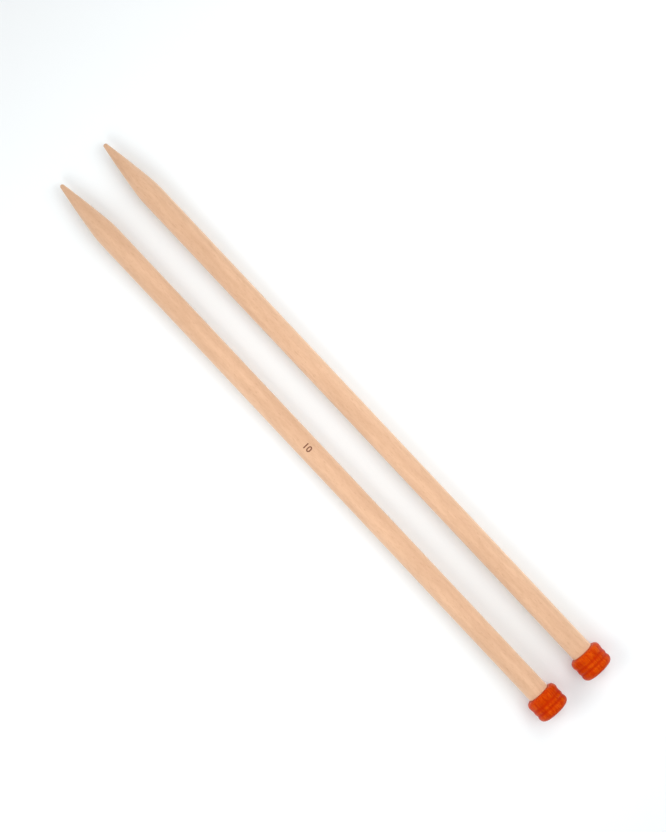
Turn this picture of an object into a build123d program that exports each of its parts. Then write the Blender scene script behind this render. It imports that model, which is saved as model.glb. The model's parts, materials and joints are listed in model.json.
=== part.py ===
from build123d import *
from math import asin, atan2, cos, degrees, hypot, sin, tan
import os

# A pair of straight, single-pointed knitting needles, lying side by side as they rest on a table.
# Each needle is a turned wooden shaft with a sanded point, glued into the blind bore of a turned
# cap that keeps the stitches on. All lengths are in millimetres.
#
# +X runs along the needles from the caps to the points, +Y to the left, and +Z up. The origin is
# on the table, under the middle of the pair.

# Driving dimensions: the needle
needle_diameter = 10.0  # the gauge that the needle is sold by
visible_length = 301.0  # from the tip to the mouth of the cap
needle_spacing = 25.7  # between the two axes

# The point: a blunt rounded tip, a slightly swollen flank, and a soft shoulder
tip_radius = 1.0
flank_length = 28.0  # from the tip to where the flank would meet the full diameter
flank_swell_radius = 560.0
shoulder_radius = 50.0

# The cap: a rounded lip, a groove, a narrow bead, a second groove, and a bulb that ends it
cap_length = 11.0
lip_diameter = 15.2
lip_radius = 2.1
front_groove_diameter = 14.7
front_groove_place = 6.5  # this and the next two are measured from the heel of the cap
bead_diameter = 15.0
bead_place = 5.2
rear_groove_diameter = 14.6
rear_groove_place = 4.05
bulb_diameter = 15.1
bulb_corner_radius = 2.4
heel_dome_radius = 130.0

# The glued joint: a tenon turned on the shaft's end, with a shoulder that seats on the cap's mouth
tenon_diameter = 8.0
tenon_chamfer = 0.5
seam_chamfer = 0.25  # breaks the shoulder's edge, which leaves a fine groove round the seam
bore_depth = 8.0
glue_gap = 0.2  # the film's thickness, all round and under the tenon
glue_setback = 1.5  # how far below the mouth the film stops

# Worked out from those
shaft_radius = needle_diameter / 2
tenon_radius = tenon_diameter / 2
bore_radius = tenon_radius + glue_gap
tip_place = cap_length + visible_length
corner_place = tip_place - flank_length
bore_floor = cap_length - bore_depth
tenon_end = bore_floor + glue_gap
glue_top = cap_length - glue_setback
lip_centre = (cap_length - lip_radius, lip_diameter / 2 - lip_radius)

# The flank starts where it is tangent to the ball of the tip. Its slope there is a little more
# than at the shoulder, because of the swell.
flank_slope = atan2(shaft_radius - tip_radius, flank_length - tip_radius)
swell_turn = flank_length / flank_swell_radius / 2
tip_slope = flank_slope + swell_turn
flank_start = (tip_place - tip_radius + tip_radius * sin(tip_slope), tip_radius * cos(tip_slope))
shoulder_slope = flank_slope - swell_turn
shoulder_place = corner_place - shoulder_radius * tan(shoulder_slope / 2)

# The rounded corner of the bulb is tangent to the domed heel and to the bulb's widest circle.
bulb_corner_height = bulb_diameter / 2 - bulb_corner_radius
heel_turn = asin(bulb_corner_height / (heel_dome_radius - bulb_corner_radius))
bulb_place = heel_dome_radius - (heel_dome_radius - bulb_corner_radius) * cos(heel_turn)

# A needle rests on its lip and on its shoulder, so its point hangs lower than its cap. The table
# is the straight line under both rounds: one about the centre of the lip's section, and one about
# the centre of the shoulder's.
reach = shoulder_place - lip_centre[0]
centre_rise = lip_centre[1] + shoulder_radius - shaft_radius
lie_angle = atan2(centre_rise, reach) - asin((shoulder_radius - lip_radius) / hypot(reach, centre_rise))
heel_height = lip_centre[0] * sin(lie_angle) + lip_centre[1] * cos(lie_angle) + lip_radius
heel_x = -tip_place * cos(lie_angle) / 2


def needle_plane(side_y):
    """The plane of a needle's outline: its x runs along the axis, from the heel to the tip."""
    along = (cos(lie_angle), 0, -sin(lie_angle))
    return Plane(origin=(heel_x, side_y, heel_height), x_dir=along, z_dir=(0, -1, 0))


def turning_axis(plane):
    """The centre line that a needle is turned about."""
    return Axis(plane.origin, plane.x_dir)


def make_shaft(plane):
    """A round rod: the tenon, the full diameter, a soft shoulder, the swollen flank and the tip."""
    with BuildPart() as shaft:
        with BuildSketch(plane) as outline:
            with BuildLine():
                Polyline(
                    (tip_place, 0),
                    (tenon_end, 0),
                    (tenon_end, tenon_radius),
                    (cap_length, tenon_radius),
                    (cap_length, shaft_radius),
                    (corner_place, shaft_radius),
                )
                RadiusArc((corner_place, shaft_radius), flank_start, flank_swell_radius)
                CenterArc((tip_place - tip_radius, 0), tip_radius, 0, 90 - degrees(tip_slope))
            make_face()
            fillet(outline.vertices().group_by(Axis.Y)[-1].sort_by(Axis.X)[-1], shoulder_radius)
            chamfer(outline.vertices().group_by(Axis.Y)[-1].sort_by(Axis.X)[0], seam_chamfer)
            chamfer(outline.vertices().group_by(Axis.X)[0].sort_by(Axis.Y)[-1], tenon_chamfer)
        revolve(axis=turning_axis(plane))
    return shaft


def make_cap(plane):
    """A turned knob with two grooves and a bead between them, bored from its mouth."""
    crests_and_grooves = [
        (bulb_place, bulb_diameter / 2),
        (rear_groove_place, rear_groove_diameter / 2),
        (bead_place, bead_diameter / 2),
        (front_groove_place, front_groove_diameter / 2),
        (lip_centre[0], lip_diameter / 2),
    ]
    with BuildPart() as cap:
        with BuildSketch(plane):
            with BuildLine():
                CenterArc((heel_dome_radius, 0), heel_dome_radius, 180, -degrees(heel_turn))
                CenterArc(
                    (bulb_place, bulb_corner_height),
                    bulb_corner_radius,
                    180 - degrees(heel_turn),
                    degrees(heel_turn) - 90,
                )
                for start, end in zip(crests_and_grooves, crests_and_grooves[1:]):
                    middle = (start[0] + end[0]) / 2
                    Bezier(start, (middle, start[1]), (middle, end[1]), end)
                CenterArc(lip_centre, lip_radius, 90, -90)
                Polyline(
                    (cap_length, lip_centre[1]),
                    (cap_length, bore_radius),
                    (bore_floor, bore_radius),
                    (bore_floor, 0),
                    (0, 0),
                )
            make_face()
        revolve(axis=turning_axis(plane))
    return cap


def make_glue(plane):
    """The set film: a thin sleeve round the tenon, closed by a thin floor under it."""
    with BuildPart() as glue:
        with BuildSketch(plane):
            with BuildLine():
                Polyline(
                    (bore_floor, 0),
                    (bore_floor, bore_radius),
                    (glue_top, bore_radius),
                    (glue_top, tenon_radius),
                    (tenon_end + tenon_chamfer, tenon_radius),
                    (tenon_end, tenon_radius - tenon_chamfer),
                    (tenon_end, 0),
                    close=True,
                )
            make_face()
        revolve(axis=turning_axis(plane))
    return glue


os.makedirs("parts", exist_ok=True)

pieces = {"shaft": make_shaft, "cap": make_cap, "glue": make_glue}

for side, side_y in (("left", needle_spacing / 2), ("right", -needle_spacing / 2)):
    plane = needle_plane(side_y)
    for name, make_piece in pieces.items():
        piece = make_piece(plane)
        piece.part.label = f"{side}_{name}"
        export_step(piece.part, f"parts/{side}_{name}.step")

print(f"lie angle {degrees(lie_angle):.3f} degrees, heel height {heel_height:.3f}")
print(f"full diameter from {cap_length} to {shoulder_place:.2f}, tip at {tip_place}")
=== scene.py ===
import json
from math import asin, atan2, cos, hypot, pi, radians, sin

import bmesh
import bpy
from mathutils import Euler, Matrix, Vector


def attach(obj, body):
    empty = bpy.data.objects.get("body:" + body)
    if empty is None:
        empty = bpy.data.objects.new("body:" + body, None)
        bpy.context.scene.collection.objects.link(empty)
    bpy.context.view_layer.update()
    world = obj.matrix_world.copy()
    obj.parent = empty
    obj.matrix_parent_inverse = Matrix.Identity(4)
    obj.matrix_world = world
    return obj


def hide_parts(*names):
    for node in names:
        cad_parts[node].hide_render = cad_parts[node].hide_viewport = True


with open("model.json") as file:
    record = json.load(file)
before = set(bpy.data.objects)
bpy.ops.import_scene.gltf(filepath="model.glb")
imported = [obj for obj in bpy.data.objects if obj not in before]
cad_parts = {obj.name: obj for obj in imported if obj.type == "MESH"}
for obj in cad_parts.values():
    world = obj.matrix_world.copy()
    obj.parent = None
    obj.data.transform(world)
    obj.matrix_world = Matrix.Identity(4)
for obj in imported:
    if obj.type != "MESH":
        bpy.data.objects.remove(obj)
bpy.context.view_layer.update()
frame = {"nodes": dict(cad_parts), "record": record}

# A pair of straight wooden knitting needles on a white table. Each needle is a pale turned shaft
# and a dyed, grooved cap, rebuilt here with finer meshes than the frame's, to the same sizes.
# The left needle carries a plain size number. All lengths are in metres.

mm = 0.001

# The needle, as the frame has it
shaft_radius = 5.0 * mm
visible_length = 301.0 * mm
tip_radius = 1.0 * mm
flank_length = 28.0 * mm
flank_swell_radius = 560.0 * mm
shoulder_radius = 50.0 * mm
tenon_radius = 4.0 * mm
tenon_chamfer = 0.5 * mm
seam_chamfer = 0.25 * mm
glue_gap = 0.2 * mm

# The cap, as the frame has it. Places are measured from its heel.
cap_length = 11.0 * mm
lip_crest = 7.6 * mm
lip_radius = 2.1 * mm
front_groove = (6.5 * mm, 7.35 * mm)
bead = (5.2 * mm, 7.5 * mm)
rear_groove = (4.05 * mm, 7.3 * mm)
bulb_crest = 7.55 * mm
bulb_corner_radius = 2.4 * mm
heel_dome_radius = 130.0 * mm
bore_depth = 8.0 * mm

# Worked out from those
tip_place = cap_length + visible_length
corner_place = tip_place - flank_length
bore_radius = tenon_radius + glue_gap
bore_floor = cap_length - bore_depth
tenon_end = bore_floor + glue_gap
bulb_corner_height = bulb_crest - bulb_corner_radius

# How finely the turned surfaces are divided
around_shaft = 128
around_cap = 192
ring_spacing = 1.0 * mm
arc_step = radians(3)
s_curve_steps = 14
crease_angle = radians(35)  # a sharper edge than this is shaded as an edge
same_point = 1e-7  # two points of an outline nearer than this are one


# --- outlines: lists of (place along the axis, radius) -----------------------------------------


def arc(centre, radius, start, end):
    """Points round an arc, from one angle to the other, both ends included."""
    steps = max(2, round(abs(end - start) / arc_step))
    angles = [start + (end - start) * i / steps for i in range(steps + 1)]
    return [(centre[0] + radius * cos(a), centre[1] + radius * sin(a)) for a in angles]


def straight(start, end):
    """Points on a straight stretch, about one ring spacing apart, both ends included."""
    steps = max(1, round(hypot(end[0] - start[0], end[1] - start[1]) / ring_spacing))
    return [tuple(a + (b - a) * i / steps for a, b in zip(start, end)) for i in range(steps + 1)]


def s_curve(start, end):
    """A cubic from one crest or groove to the next, level at both, with its handles at halfway."""
    middle = (start[0] + end[0]) / 2
    points = []
    for i in range(s_curve_steps + 1):
        t = i / s_curve_steps
        weights = ((1 - t) ** 3, 3 * (1 - t) ** 2 * t, 3 * (1 - t) * t**2, t**3)
        places = (start[0], middle, middle, end[0])
        radii = (start[1], start[1], end[1], end[1])
        points.append(tuple(sum(w * v for w, v in zip(weights, vs)) for vs in (places, radii)))
    return points


def joined(*stretches):
    """One outline from several stretches, with the points that two of them share kept once."""
    outline = []
    for stretch in stretches:
        for point in stretch:
            if not outline or hypot(point[0] - outline[-1][0], point[1] - outline[-1][1]) > same_point:
                outline.append(point)
    return outline


def shaft_outline():
    """The tenon, the shoulder and its broken edge, the full diameter, the point and the tip."""
    slope = atan2(shaft_radius - tip_radius, flank_length - tip_radius)
    tip_slope = slope + flank_length / flank_swell_radius / 2
    tip_centre = (tip_place - tip_radius, 0.0)
    flank_end = (tip_centre[0] + tip_radius * sin(tip_slope), tip_radius * cos(tip_slope))
    corner = (corner_place, shaft_radius)

    # the flank's centre is on the far side of the axis, level with the middle of its chord
    chord = hypot(flank_end[0] - corner[0], flank_end[1] - corner[1])
    to_centre = (flank_swell_radius**2 - chord**2 / 4) ** 0.5
    normal = ((flank_end[1] - corner[1]) / chord, -(flank_end[0] - corner[0]) / chord)
    flank_centre = tuple((a + b) / 2 + n * to_centre for a, b, n in zip(corner, flank_end, normal))

    # the shoulder's round touches the full diameter and the flank from inside
    inner = flank_swell_radius - shoulder_radius
    shoulder_y = shaft_radius - shoulder_radius
    shoulder_x = flank_centre[0] + (inner**2 - (shoulder_y - flank_centre[1]) ** 2) ** 0.5
    turn = atan2(shoulder_y - flank_centre[1], shoulder_x - flank_centre[0])
    flank_end_turn = atan2(flank_end[1] - flank_centre[1], flank_end[0] - flank_centre[0])
    shoulder_points = arc_by_length((shoulder_x, shoulder_y), shoulder_radius, pi / 2, turn)
    flank_points = arc_by_length(flank_centre, flank_swell_radius, turn, flank_end_turn)

    seam_start = cap_length + seam_chamfer
    return joined(
        [(tenon_end, 0.0), (tenon_end, tenon_radius - tenon_chamfer)],
        [(tenon_end + tenon_chamfer, tenon_radius), (cap_length, tenon_radius)],
        [(cap_length, shaft_radius - seam_chamfer)],
        straight((seam_start, shaft_radius), (shoulder_x, shaft_radius)),
        shoulder_points,
        flank_points,
        arc(tip_centre, tip_radius, pi / 2 - tip_slope, 0.0)[:-1],
        [(tip_place, 0.0)],
    )


def arc_by_length(centre, radius, start, end):
    """Points round a long shallow arc, about one ring spacing apart."""
    steps = max(2, round(abs(end - start) * radius / ring_spacing))
    angles = [start + (end - start) * i / steps for i in range(steps + 1)]
    return [(centre[0] + radius * cos(a), centre[1] + radius * sin(a)) for a in angles]


def cap_outline():
    """The domed heel, the bulb, the rear groove, the bead, the front groove, the lip and the bore."""
    heel_turn = asin(bulb_corner_height / (heel_dome_radius - bulb_corner_radius))
    bulb_place = heel_dome_radius - (heel_dome_radius - bulb_corner_radius) * cos(heel_turn)
    lip_place = cap_length - lip_radius
    lip_height = lip_crest - lip_radius
    heel = arc_by_length((heel_dome_radius, 0.0), heel_dome_radius, pi, pi - heel_turn)
    return joined(
        [(0.0, 0.0)],
        heel[1:],
        arc((bulb_place, bulb_corner_height), bulb_corner_radius, pi - heel_turn, pi / 2),
        s_curve((bulb_place, bulb_crest), rear_groove),
        s_curve(rear_groove, bead),
        s_curve(bead, front_groove),
        s_curve(front_groove, (lip_place, lip_crest)),
        arc((lip_place, lip_height), lip_radius, pi / 2, 0.0),
        [(cap_length, bore_radius), (bore_floor, bore_radius), (bore_floor, 0.0)],
    )


# --- meshes ------------------------------------------------------------------------------------


def needle_matrix(side):
    """A needle's own axes in the frame: x from the heel to the tip, y to the left, z up."""
    mounts = frame["record"]["mounts"]
    mount = next(m for m in mounts if m["name"] == f"{side}_working_length")
    along = Vector(mount["axis"]).normalized()
    left = Vector((0, 1, 0))
    half_length = mount["dims"]["length_mm"] * mm / 2
    heel = Vector(mount["pos_m"]) - along * (half_length + seam_chamfer + cap_length)
    axes = Matrix((along, left, along.cross(left))).transposed().to_4x4()
    return Matrix.Translation(heel) @ axes


def turned(name, outline, segments):
    """A closed solid of revolution about x. The outline starts and ends on the axis."""
    vertices = [(outline[0][0], 0.0, 0.0)]
    for place, radius in outline[1:-1]:
        for i in range(segments):
            a = 2 * pi * i / segments
            vertices.append((place, radius * cos(a), radius * sin(a)))
    vertices.append((outline[-1][0], 0.0, 0.0))
    last = len(vertices) - 1
    rings = len(outline) - 2
    faces = []
    for i in range(segments):
        j = (i + 1) % segments
        faces.append((0, 1 + j, 1 + i))
        for ring in range(rings - 1):
            a = 1 + ring * segments
            b = a + segments
            faces.append((a + i, a + j, b + j, b + i))
        top = 1 + (rings - 1) * segments
        faces.append((last, top + i, top + j))
    mesh = bpy.data.meshes.new(name)
    mesh.from_pydata(vertices, [], faces)
    mesh.validate()
    work = bmesh.new()
    work.from_mesh(mesh)
    bmesh.ops.recalc_face_normals(work, faces=work.faces)
    work.to_mesh(mesh)
    work.free()
    mesh.shade_smooth()
    mesh.set_sharp_from_angle(angle=crease_angle)
    piece = bpy.data.objects.new(name, mesh)
    bpy.context.scene.collection.objects.link(piece)
    return piece


# --- materials ---------------------------------------------------------------------------------


class Shader:
    """A short way to add nodes to one material."""

    def __init__(self, name):
        self.material = bpy.data.materials.new(name)
        self.material.use_nodes = True
        self.tree = self.material.node_tree
        self.surface = self.tree.nodes["Principled BSDF"]

    def node(self, kind, inputs=None, **settings):
        """Adds a node, sets its properties, and sets or links its inputs by name or number."""
        made = self.tree.nodes.new(kind)
        for key, value in settings.items():
            setattr(made, key, value)
        for key, value in (inputs or {}).items():
            self.feed(made.inputs[key], value)
        return made

    def feed(self, socket, value):
        """Links a socket or sets its value."""
        if isinstance(value, bpy.types.NodeSocket):
            self.tree.links.new(value, socket)
        else:
            socket.default_value = value

    def maths(self, operation, a, b=0.0, c=0.0):
        """One Math node's result."""
        return self.node("ShaderNodeMath", {0: a, 1: b, 2: c}, operation=operation).outputs[0]

    def stretched(self, vector, scale, offset=(0.0, 0.0, 0.0)):
        """Coordinates scaled per axis, in repeats per metre, then shifted."""
        made = self.node("ShaderNodeMapping", {"Vector": vector, "Scale": scale, "Location": offset})
        return made.outputs[0]

    def noise(self, vector, detail=2.0, roughness=0.5):
        """Noise from 0 to 1, one unit of the vector to a lump."""
        inputs = {"Vector": vector, "Scale": 1.0, "Detail": detail, "Roughness": roughness}
        return self.node("ShaderNodeTexNoise", inputs).outputs[0]

    def ranged(self, value, low, high, to_low=0.0, to_high=1.0):
        """A value mapped from one range to another and held inside it, with soft ends."""
        inputs = {0: value, 1: low, 2: high, 3: to_low, 4: to_high}
        made = self.node("ShaderNodeMapRange", inputs, interpolation_type="SMOOTHSTEP")
        return made.outputs[0]

    def mixed(self, share, a, b):
        """Two colours mixed by a share."""
        made = self.node("ShaderNodeMix", data_type="RGBA")
        for key, value in (("Factor", share), ("A", a), ("B", b)):
            sockets = [s for s in made.inputs if s.name == key and s.enabled]
            self.feed(sockets[0], value)
        return next(s for s in made.outputs if s.enabled)

    def bumped(self, height, distance, strength=1.0, under=None):
        """A bump of that height in metres, on top of another one if there is one."""
        inputs = {"Height": height, "Distance": distance, "Strength": strength}
        if under is not None:
            inputs["Normal"] = under
        return self.node("ShaderNodeBump", inputs).outputs[0]


def colour(red, green, blue):
    """A linear colour from one given as it looks on screen, from 0 to 255."""

    def linear(value):
        share = value / 255
        return share / 12.92 if share <= 0.04045 else ((share + 0.055) / 1.055) ** 2.4

    return (linear(red), linear(green), linear(blue), 1.0)


def growth_rings(shader, position, pith, spacing, waviness):
    """The ring pattern of the plank, cut through by the turned surface: 0 to 1 across each ring."""
    bent = shader.noise(shader.stretched(position, (9.0, 90.0, 90.0)), detail=1.0)
    centred = shader.stretched(position, (0.012, 1.0, 1.0), pith)
    distance = shader.node("ShaderNodeVectorMath", {0: centred}, operation="LENGTH").outputs["Value"]
    rings = shader.maths("DIVIDE", distance, spacing)
    rings = shader.maths("MULTIPLY_ADD", bent, waviness, rings)
    return shader.maths("FRACT", rings)


def pale_wood(name, shift):
    """Bare sanded birch: peach-cream, faint rings, fine fibres, a few short darker flecks."""
    shader = Shader(name)
    raw = shader.node("ShaderNodeTexCoord").outputs["Object"]
    position = shader.node("ShaderNodeVectorMath", {0: raw, 1: shift}, operation="ADD").outputs[0]

    ring = growth_rings(shader, position, (0.0, 0.031, 0.018), 3.6 * mm, 1.1)
    late_wood = shader.ranged(ring, 0.35, 0.95)
    broad = shader.noise(shader.stretched(position, (32.0, 240.0, 240.0)), detail=2.0)
    clouds = shader.noise(shader.stretched(position, (190.0, 850.0, 850.0)), detail=3.0, roughness=0.65)
    fibres = shader.noise(shader.stretched(position, (80.0, 3400.0, 3400.0)), detail=4.0, roughness=0.6)
    flecks = shader.noise(shader.stretched(position, (480.0, 3000.0, 3000.0)), detail=1.0)
    pores = shader.noise(shader.stretched(position, (1100.0, 9000.0, 9000.0)), detail=1.0)
    fleck_share = shader.ranged(flecks, 0.60, 0.76)
    pore_share = shader.ranged(pores, 0.62, 0.72)

    base = shader.mixed(shader.ranged(broad, 0.3, 0.7), colour(218, 181, 148), colour(226, 190, 157))
    base = shader.mixed(shader.maths("MULTIPLY", late_wood, 0.10), base, colour(194, 152, 116))
    base = shader.mixed(shader.ranged(clouds, 0.38, 0.72, 0.0, 0.26), base, colour(196, 155, 119))
    base = shader.mixed(shader.ranged(fibres, 0.35, 0.75, 0.0, 0.14), base, colour(196, 157, 122))
    base = shader.mixed(shader.maths("MULTIPLY", fleck_share, 0.28), base, colour(168, 118, 84))
    base = shader.mixed(shader.maths("MULTIPLY", pore_share, 0.12), base, colour(170, 118, 84))
    shader.feed(shader.surface.inputs["Base Color"], base)

    shader.feed(shader.surface.inputs["Roughness"], shader.ranged(fibres, 0.2, 0.8, 0.5, 0.62))
    sanding = shader.noise(shader.stretched(position, (7000.0, 160.0, 160.0)), detail=2.0)
    normal = shader.bumped(fibres, 0.02 * mm, 0.6)
    normal = shader.bumped(sanding, 0.006 * mm, 0.5, normal)
    normal = shader.bumped(shader.maths("MULTIPLY", pore_share, -1.0), 0.02 * mm, 0.5, normal)
    shader.feed(shader.surface.inputs["Normal"], normal)
    shader.surface.inputs["Specular IOR Level"].default_value = 0.25
    shader.surface.inputs["Diffuse Roughness"].default_value = 1.0
    shader.surface.inputs["Sheen Weight"].default_value = 0.15
    shader.surface.inputs["Sheen Roughness"].default_value = 0.5
    return shader.material


def near(shader, value, middle, reach):
    """A share that is 1 at one place and falls to 0 at that distance from it."""
    away = shader.maths("ABSOLUTE", shader.maths("SUBTRACT", value, middle))
    return shader.ranged(away, 0.0, reach, 1.0, 0.0)


grooves = (front_groove, rear_groove)
groove_shade_reach = 1.1 * mm  # how far from the bottom of a groove the painted shade reaches


def dyed_wood(name, shift):
    """Hardwood dyed orange: streaks where the dye took more, dark pores, fine turning marks, painted
    shade in the grooves.
    """
    shader = Shader(name)
    raw = shader.node("ShaderNodeTexCoord").outputs["Object"]
    position = shader.node("ShaderNodeVectorMath", {0: raw, 1: shift}, operation="ADD").outputs[0]

    ring = growth_rings(shader, position, (0.0, 0.014, 0.011), 1.3 * mm, 1.2)
    late_wood = shader.ranged(ring, 0.45, 0.95)
    streaks = shader.noise(shader.stretched(position, (150.0, 1700.0, 1700.0)), detail=4.0, roughness=0.6)
    patches = shader.noise(shader.stretched(position, (240.0, 420.0, 420.0)), detail=2.0)
    pores = shader.noise(shader.stretched(position, (900.0, 3200.0, 3200.0)), detail=2.0)
    pore_share = shader.ranged(pores, 0.56, 0.68)
    place = shader.node("ShaderNodeSeparateXYZ", {0: raw}).outputs[0]
    # painted shade: 1 at the bottom of each groove, falling to 0 at the reach, to darken the grooves as
    # shade would
    groove_shade = shader.maths("MAXIMUM", *(near(shader, place, g[0], groove_shade_reach) for g in grooves))

    base = shader.mixed(shader.ranged(patches, 0.3, 0.7), colour(194, 59, 1), colour(206, 80, 7))
    base = shader.mixed(shader.ranged(streaks, 0.42, 0.68, 0.0, 0.8), base, colour(176, 36, 1))
    base = shader.mixed(shader.maths("MULTIPLY", late_wood, 0.3), base, colour(174, 36, 1))
    # the painted groove shade: the base colour is darkened towards the bottom of each groove
    base = shader.mixed(shader.maths("MULTIPLY", groove_shade, 0.7), base, colour(174, 32, 1))
    base = shader.mixed(shader.maths("MULTIPLY", pore_share, 0.6), base, colour(156, 24, 1))
    shader.feed(shader.surface.inputs["Base Color"], base)

    shader.feed(shader.surface.inputs["Roughness"], shader.ranged(streaks, 0.2, 0.8, 0.3, 0.42))
    turning = shader.noise(shader.stretched(raw, (5200.0, 120.0, 120.0)), detail=2.0)
    normal = shader.bumped(streaks, 0.02 * mm, 0.6)
    normal = shader.bumped(turning, 0.012 * mm, 0.6, normal)
    normal = shader.bumped(shader.maths("MULTIPLY", pore_share, -1.0), 0.03 * mm, 0.6, normal)
    shader.feed(shader.surface.inputs["Normal"], normal)
    shader.surface.inputs["Specular IOR Level"].default_value = 0.1
    shader.surface.inputs["Specular Tint"].default_value = (1.0, 0.3, 0.1, 1.0)
    return shader.material


def set_glue(name):
    """Set wood glue: amber, smooth, with a faint cloudiness."""
    shader = Shader(name)
    position = shader.node("ShaderNodeTexCoord").outputs["Object"]
    clouds = shader.noise(shader.stretched(position, (600.0, 600.0, 600.0)), detail=3.0)
    base = shader.mixed(clouds, colour(206, 178, 120), colour(228, 206, 156))
    shader.feed(shader.surface.inputs["Base Color"], base)
    shader.feed(shader.surface.inputs["Roughness"], shader.ranged(clouds, 0.2, 0.8, 0.2, 0.35))
    return shader.material


def printed_ink(name):
    """Dark brown ink, thinner in places, where the wood's fibres show through."""
    shader = Shader(name)
    position = shader.node("ShaderNodeTexCoord").outputs["Object"]
    worn = shader.noise(shader.stretched(position, (900.0, 3800.0, 3800.0)), detail=3.0)
    base = shader.mixed(shader.ranged(worn, 0.50, 0.80), colour(102, 50, 22), colour(142, 86, 52))
    shader.feed(shader.surface.inputs["Base Color"], base)
    shader.feed(shader.surface.inputs["Roughness"], shader.ranged(worn, 0.3, 0.7, 0.5, 0.7))
    return shader.material


def white_table(name):
    """A matt white sheet, faintly cool."""
    shader = Shader(name)
    shader.surface.inputs["Base Color"].default_value = (0.87, 0.9, 0.91, 1.0)
    shader.surface.inputs["Roughness"].default_value = 0.9
    shader.surface.inputs["Specular IOR Level"].default_value = 0.1
    return shader.material


# --- the size number ---------------------------------------------------------------------------

mark_text = "10"  # the gauge, in whole millimetres
mark_height = 3.0 * mm
mark_place = tip_place / 2  # the middle of the figures, from the heel
mark_boldness = 0.02  # added all round each stroke, as a share of the letters' size
mark_thickness = 0.012 * mm
mark_strip = 0.2 * mm  # about how wide the strips are that follow the shaft's curve
mark_merge = 1e-6  # corners of the figures nearer than this are one
mark_on_cut = 1e-8  # and nearer than this to a cut, they lie on it


def flat_letters(text):
    """A text's mesh, one unit thick, in the letters' own size."""
    curve = bpy.data.curves.new(text, "FONT")
    curve.body = text
    curve.offset = mark_boldness
    curve.extrude = 0.5
    holder = bpy.data.objects.new(text, curve)
    bpy.context.scene.collection.objects.link(holder)
    bpy.context.view_layer.update()
    mesh = bpy.data.meshes.new_from_object(holder)
    bpy.data.objects.remove(holder)
    return mesh


def size_mark(name):
    """The size number: flat figures cut into narrow strips, then wrapped round the shaft's top."""
    letters = flat_letters(mark_text)
    low = Vector([min(v.co[i] for v in letters.vertices) for i in range(3)])
    high = Vector([max(v.co[i] for v in letters.vertices) for i in range(3)])
    middle = (low + high) / 2
    scale = mark_height / (high.y - low.y)
    for vertex in letters.vertices:
        along, across = ((vertex.co - middle) * scale).xy
        vertex.co = (along, across, mark_thickness * (1 if vertex.co.z > 0 else -1))

    work = bmesh.new()
    work.from_mesh(letters)
    bpy.data.meshes.remove(letters)
    bmesh.ops.remove_doubles(work, verts=work.verts, dist=mark_merge)
    strips = round(mark_height / mark_strip)
    for i in range(1, strips):
        cut = mark_height * (i / strips - 0.5)
        bmesh.ops.bisect_plane(
            work,
            geom=work.verts[:] + work.edges[:] + work.faces[:],
            plane_co=(0, cut, 0),
            plane_no=(0, 1, 0),
            dist=mark_on_cut,
        )
    for vertex in work.verts:
        # the figures read towards the heel, with their tops to the right of the needle
        angle = -vertex.co.y / shaft_radius
        radius = shaft_radius + vertex.co.z
        vertex.co = (mark_place - vertex.co.x, radius * sin(angle), radius * cos(angle))
    mesh = bpy.data.meshes.new(name)
    work.to_mesh(mesh)
    work.free()
    piece = bpy.data.objects.new(name, mesh)
    bpy.context.scene.collection.objects.link(piece)
    return piece


# --- the needles -------------------------------------------------------------------------------

wood_shift = {"left": (0.0, 0.0, 0.0), "right": (0.37, 0.011, 0.023)}

glue = set_glue("glue")
for side in ("left", "right"):
    place = needle_matrix(side)
    body = f"{side}_needle"

    shaft = turned(f"{side}_shaft_turned", shaft_outline(), around_shaft)
    shaft.data.materials.append(pale_wood(f"{side}_pale_wood", wood_shift[side]))
    shaft.matrix_world = place
    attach(shaft, body)
    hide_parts(f"{side}_shaft")

    cap = turned(f"{side}_cap_turned", cap_outline(), around_cap)
    cap.data.materials.append(dyed_wood(f"{side}_dyed_wood", wood_shift[side]))
    cap.matrix_world = place
    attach(cap, body)
    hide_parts(f"{side}_cap")

    film = frame["nodes"][f"{side}_glue"]
    film.data.materials.clear()
    film.data.materials.append(glue)

mark = size_mark("left_size_mark")
mark.data.materials.append(printed_ink("printed_ink"))
mark.matrix_world = needle_matrix("left")
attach(mark, "left_needle")


# --- the table, the light and the camera -------------------------------------------------------

floor_size = 30.0
sky_top_angle = radians(25)  # from straight overhead, where the overhead strength ends
sky_side_angle = radians(50)  # and where the strength of the sides begins
sky_overhead = 0.4
sky_around = 0.87
softbox_spread = 0.6  # a softbox's width, as a share of its distance

# Each softbox: its direction, its elevation, its distance in metres and its power in watts
softboxes = {
    "left_softbox": (radians(90), radians(50), 0.3, 0.34),
    "right_softbox": (radians(270), radians(50), 0.3, 0.27),
    "rear_softbox": (radians(225), radians(70), 0.5, 0.7),
}


def make_floor():
    """A flat white sheet under the needles."""
    half = floor_size / 2
    corners = [(-half, -half, 0), (half, -half, 0), (half, half, 0), (-half, half, 0)]
    mesh = bpy.data.meshes.new("floor")
    mesh.from_pydata(corners, [], [(0, 1, 2, 3)])
    floor = bpy.data.objects.new("floor", mesh)
    floor.data.materials.append(white_table("white_table"))
    bpy.context.scene.collection.objects.link(floor)


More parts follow.
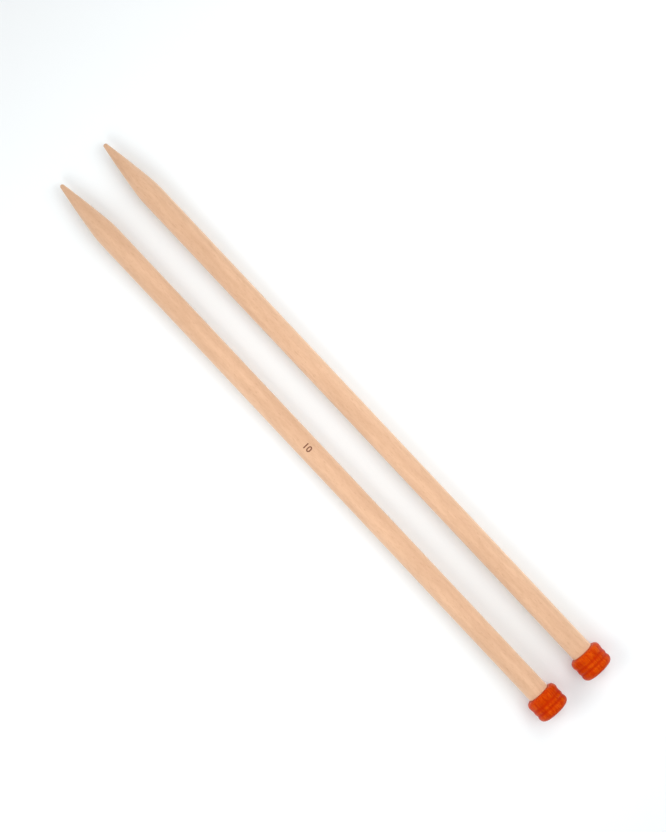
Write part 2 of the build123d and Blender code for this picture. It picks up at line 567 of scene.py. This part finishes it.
def make_softbox(name, direction, elevation, distance, power):
    """A square lamp aimed at the middle of the pair from that side, unseen by the camera itself."""
    lamp = bpy.data.lights.new(name, "AREA")
    lamp.size = softbox_spread * distance
    lamp.energy = power
    holder = bpy.data.objects.new(name, lamp)
    away = Vector((cos(direction) * cos(elevation), sin(direction) * cos(elevation), sin(elevation)))
    holder.location = away * distance
    holder.rotation_mode = "QUATERNION"
    holder.rotation_quaternion = away.to_track_quat("Z", "Y")
    holder.visible_camera = False
    bpy.context.scene.collection.objects.link(holder)


def make_sky(overhead, around):
    """An even white surround, of one strength round the sides and another straight overhead."""
    world = bpy.data.worlds.new("surround")
    world.use_nodes = True
    tree = world.node_tree
    direction = tree.nodes.new("ShaderNodeTexCoord")
    height = tree.nodes.new("ShaderNodeSeparateXYZ")
    strength = tree.nodes.new("ShaderNodeMapRange")
    strength.interpolation_type = "SMOOTHSTEP"
    limits = (cos(sky_side_angle), cos(sky_top_angle), around, overhead)
    for number, value in enumerate(limits, start=1):
        strength.inputs[number].default_value = value
    tree.links.new(direction.outputs["Generated"], height.inputs[0])
    tree.links.new(height.outputs["Z"], strength.inputs[0])
    tree.links.new(strength.outputs[0], tree.nodes["Background"].inputs["Strength"])
    tree.nodes["Background"].inputs["Color"].default_value = (1.0, 1.0, 1.0, 1.0)
    bpy.context.scene.world = world


make_floor()
for name, settings in softboxes.items():
    make_softbox(name, *settings)
make_sky(sky_overhead, sky_around)

camera_height = 0.9
aim = (2.73 * mm, -4.36 * mm)  # the point of the table in the middle of the picture
camera_turn = radians(226.743)
sensor_width = 36.0  # in millimetres, as Blender gives it
seen_length = 0.3613  # the long side of the picture, at table level

lens = bpy.data.cameras.new("camera")
lens.sensor_width = sensor_width
lens.lens = sensor_width * camera_height / seen_length
camera = bpy.data.objects.new("camera", lens)
camera.location = (aim[0], aim[1], camera_height)
camera.rotation_euler = Euler((0.0, 0.0, camera_turn))
bpy.context.scene.collection.objects.link(camera)
bpy.context.scene.camera = camera

view = bpy.context.scene.view_settings
view.view_transform = "Standard"
view.look = "None"
view.exposure = 0.0
view.gamma = 1.0
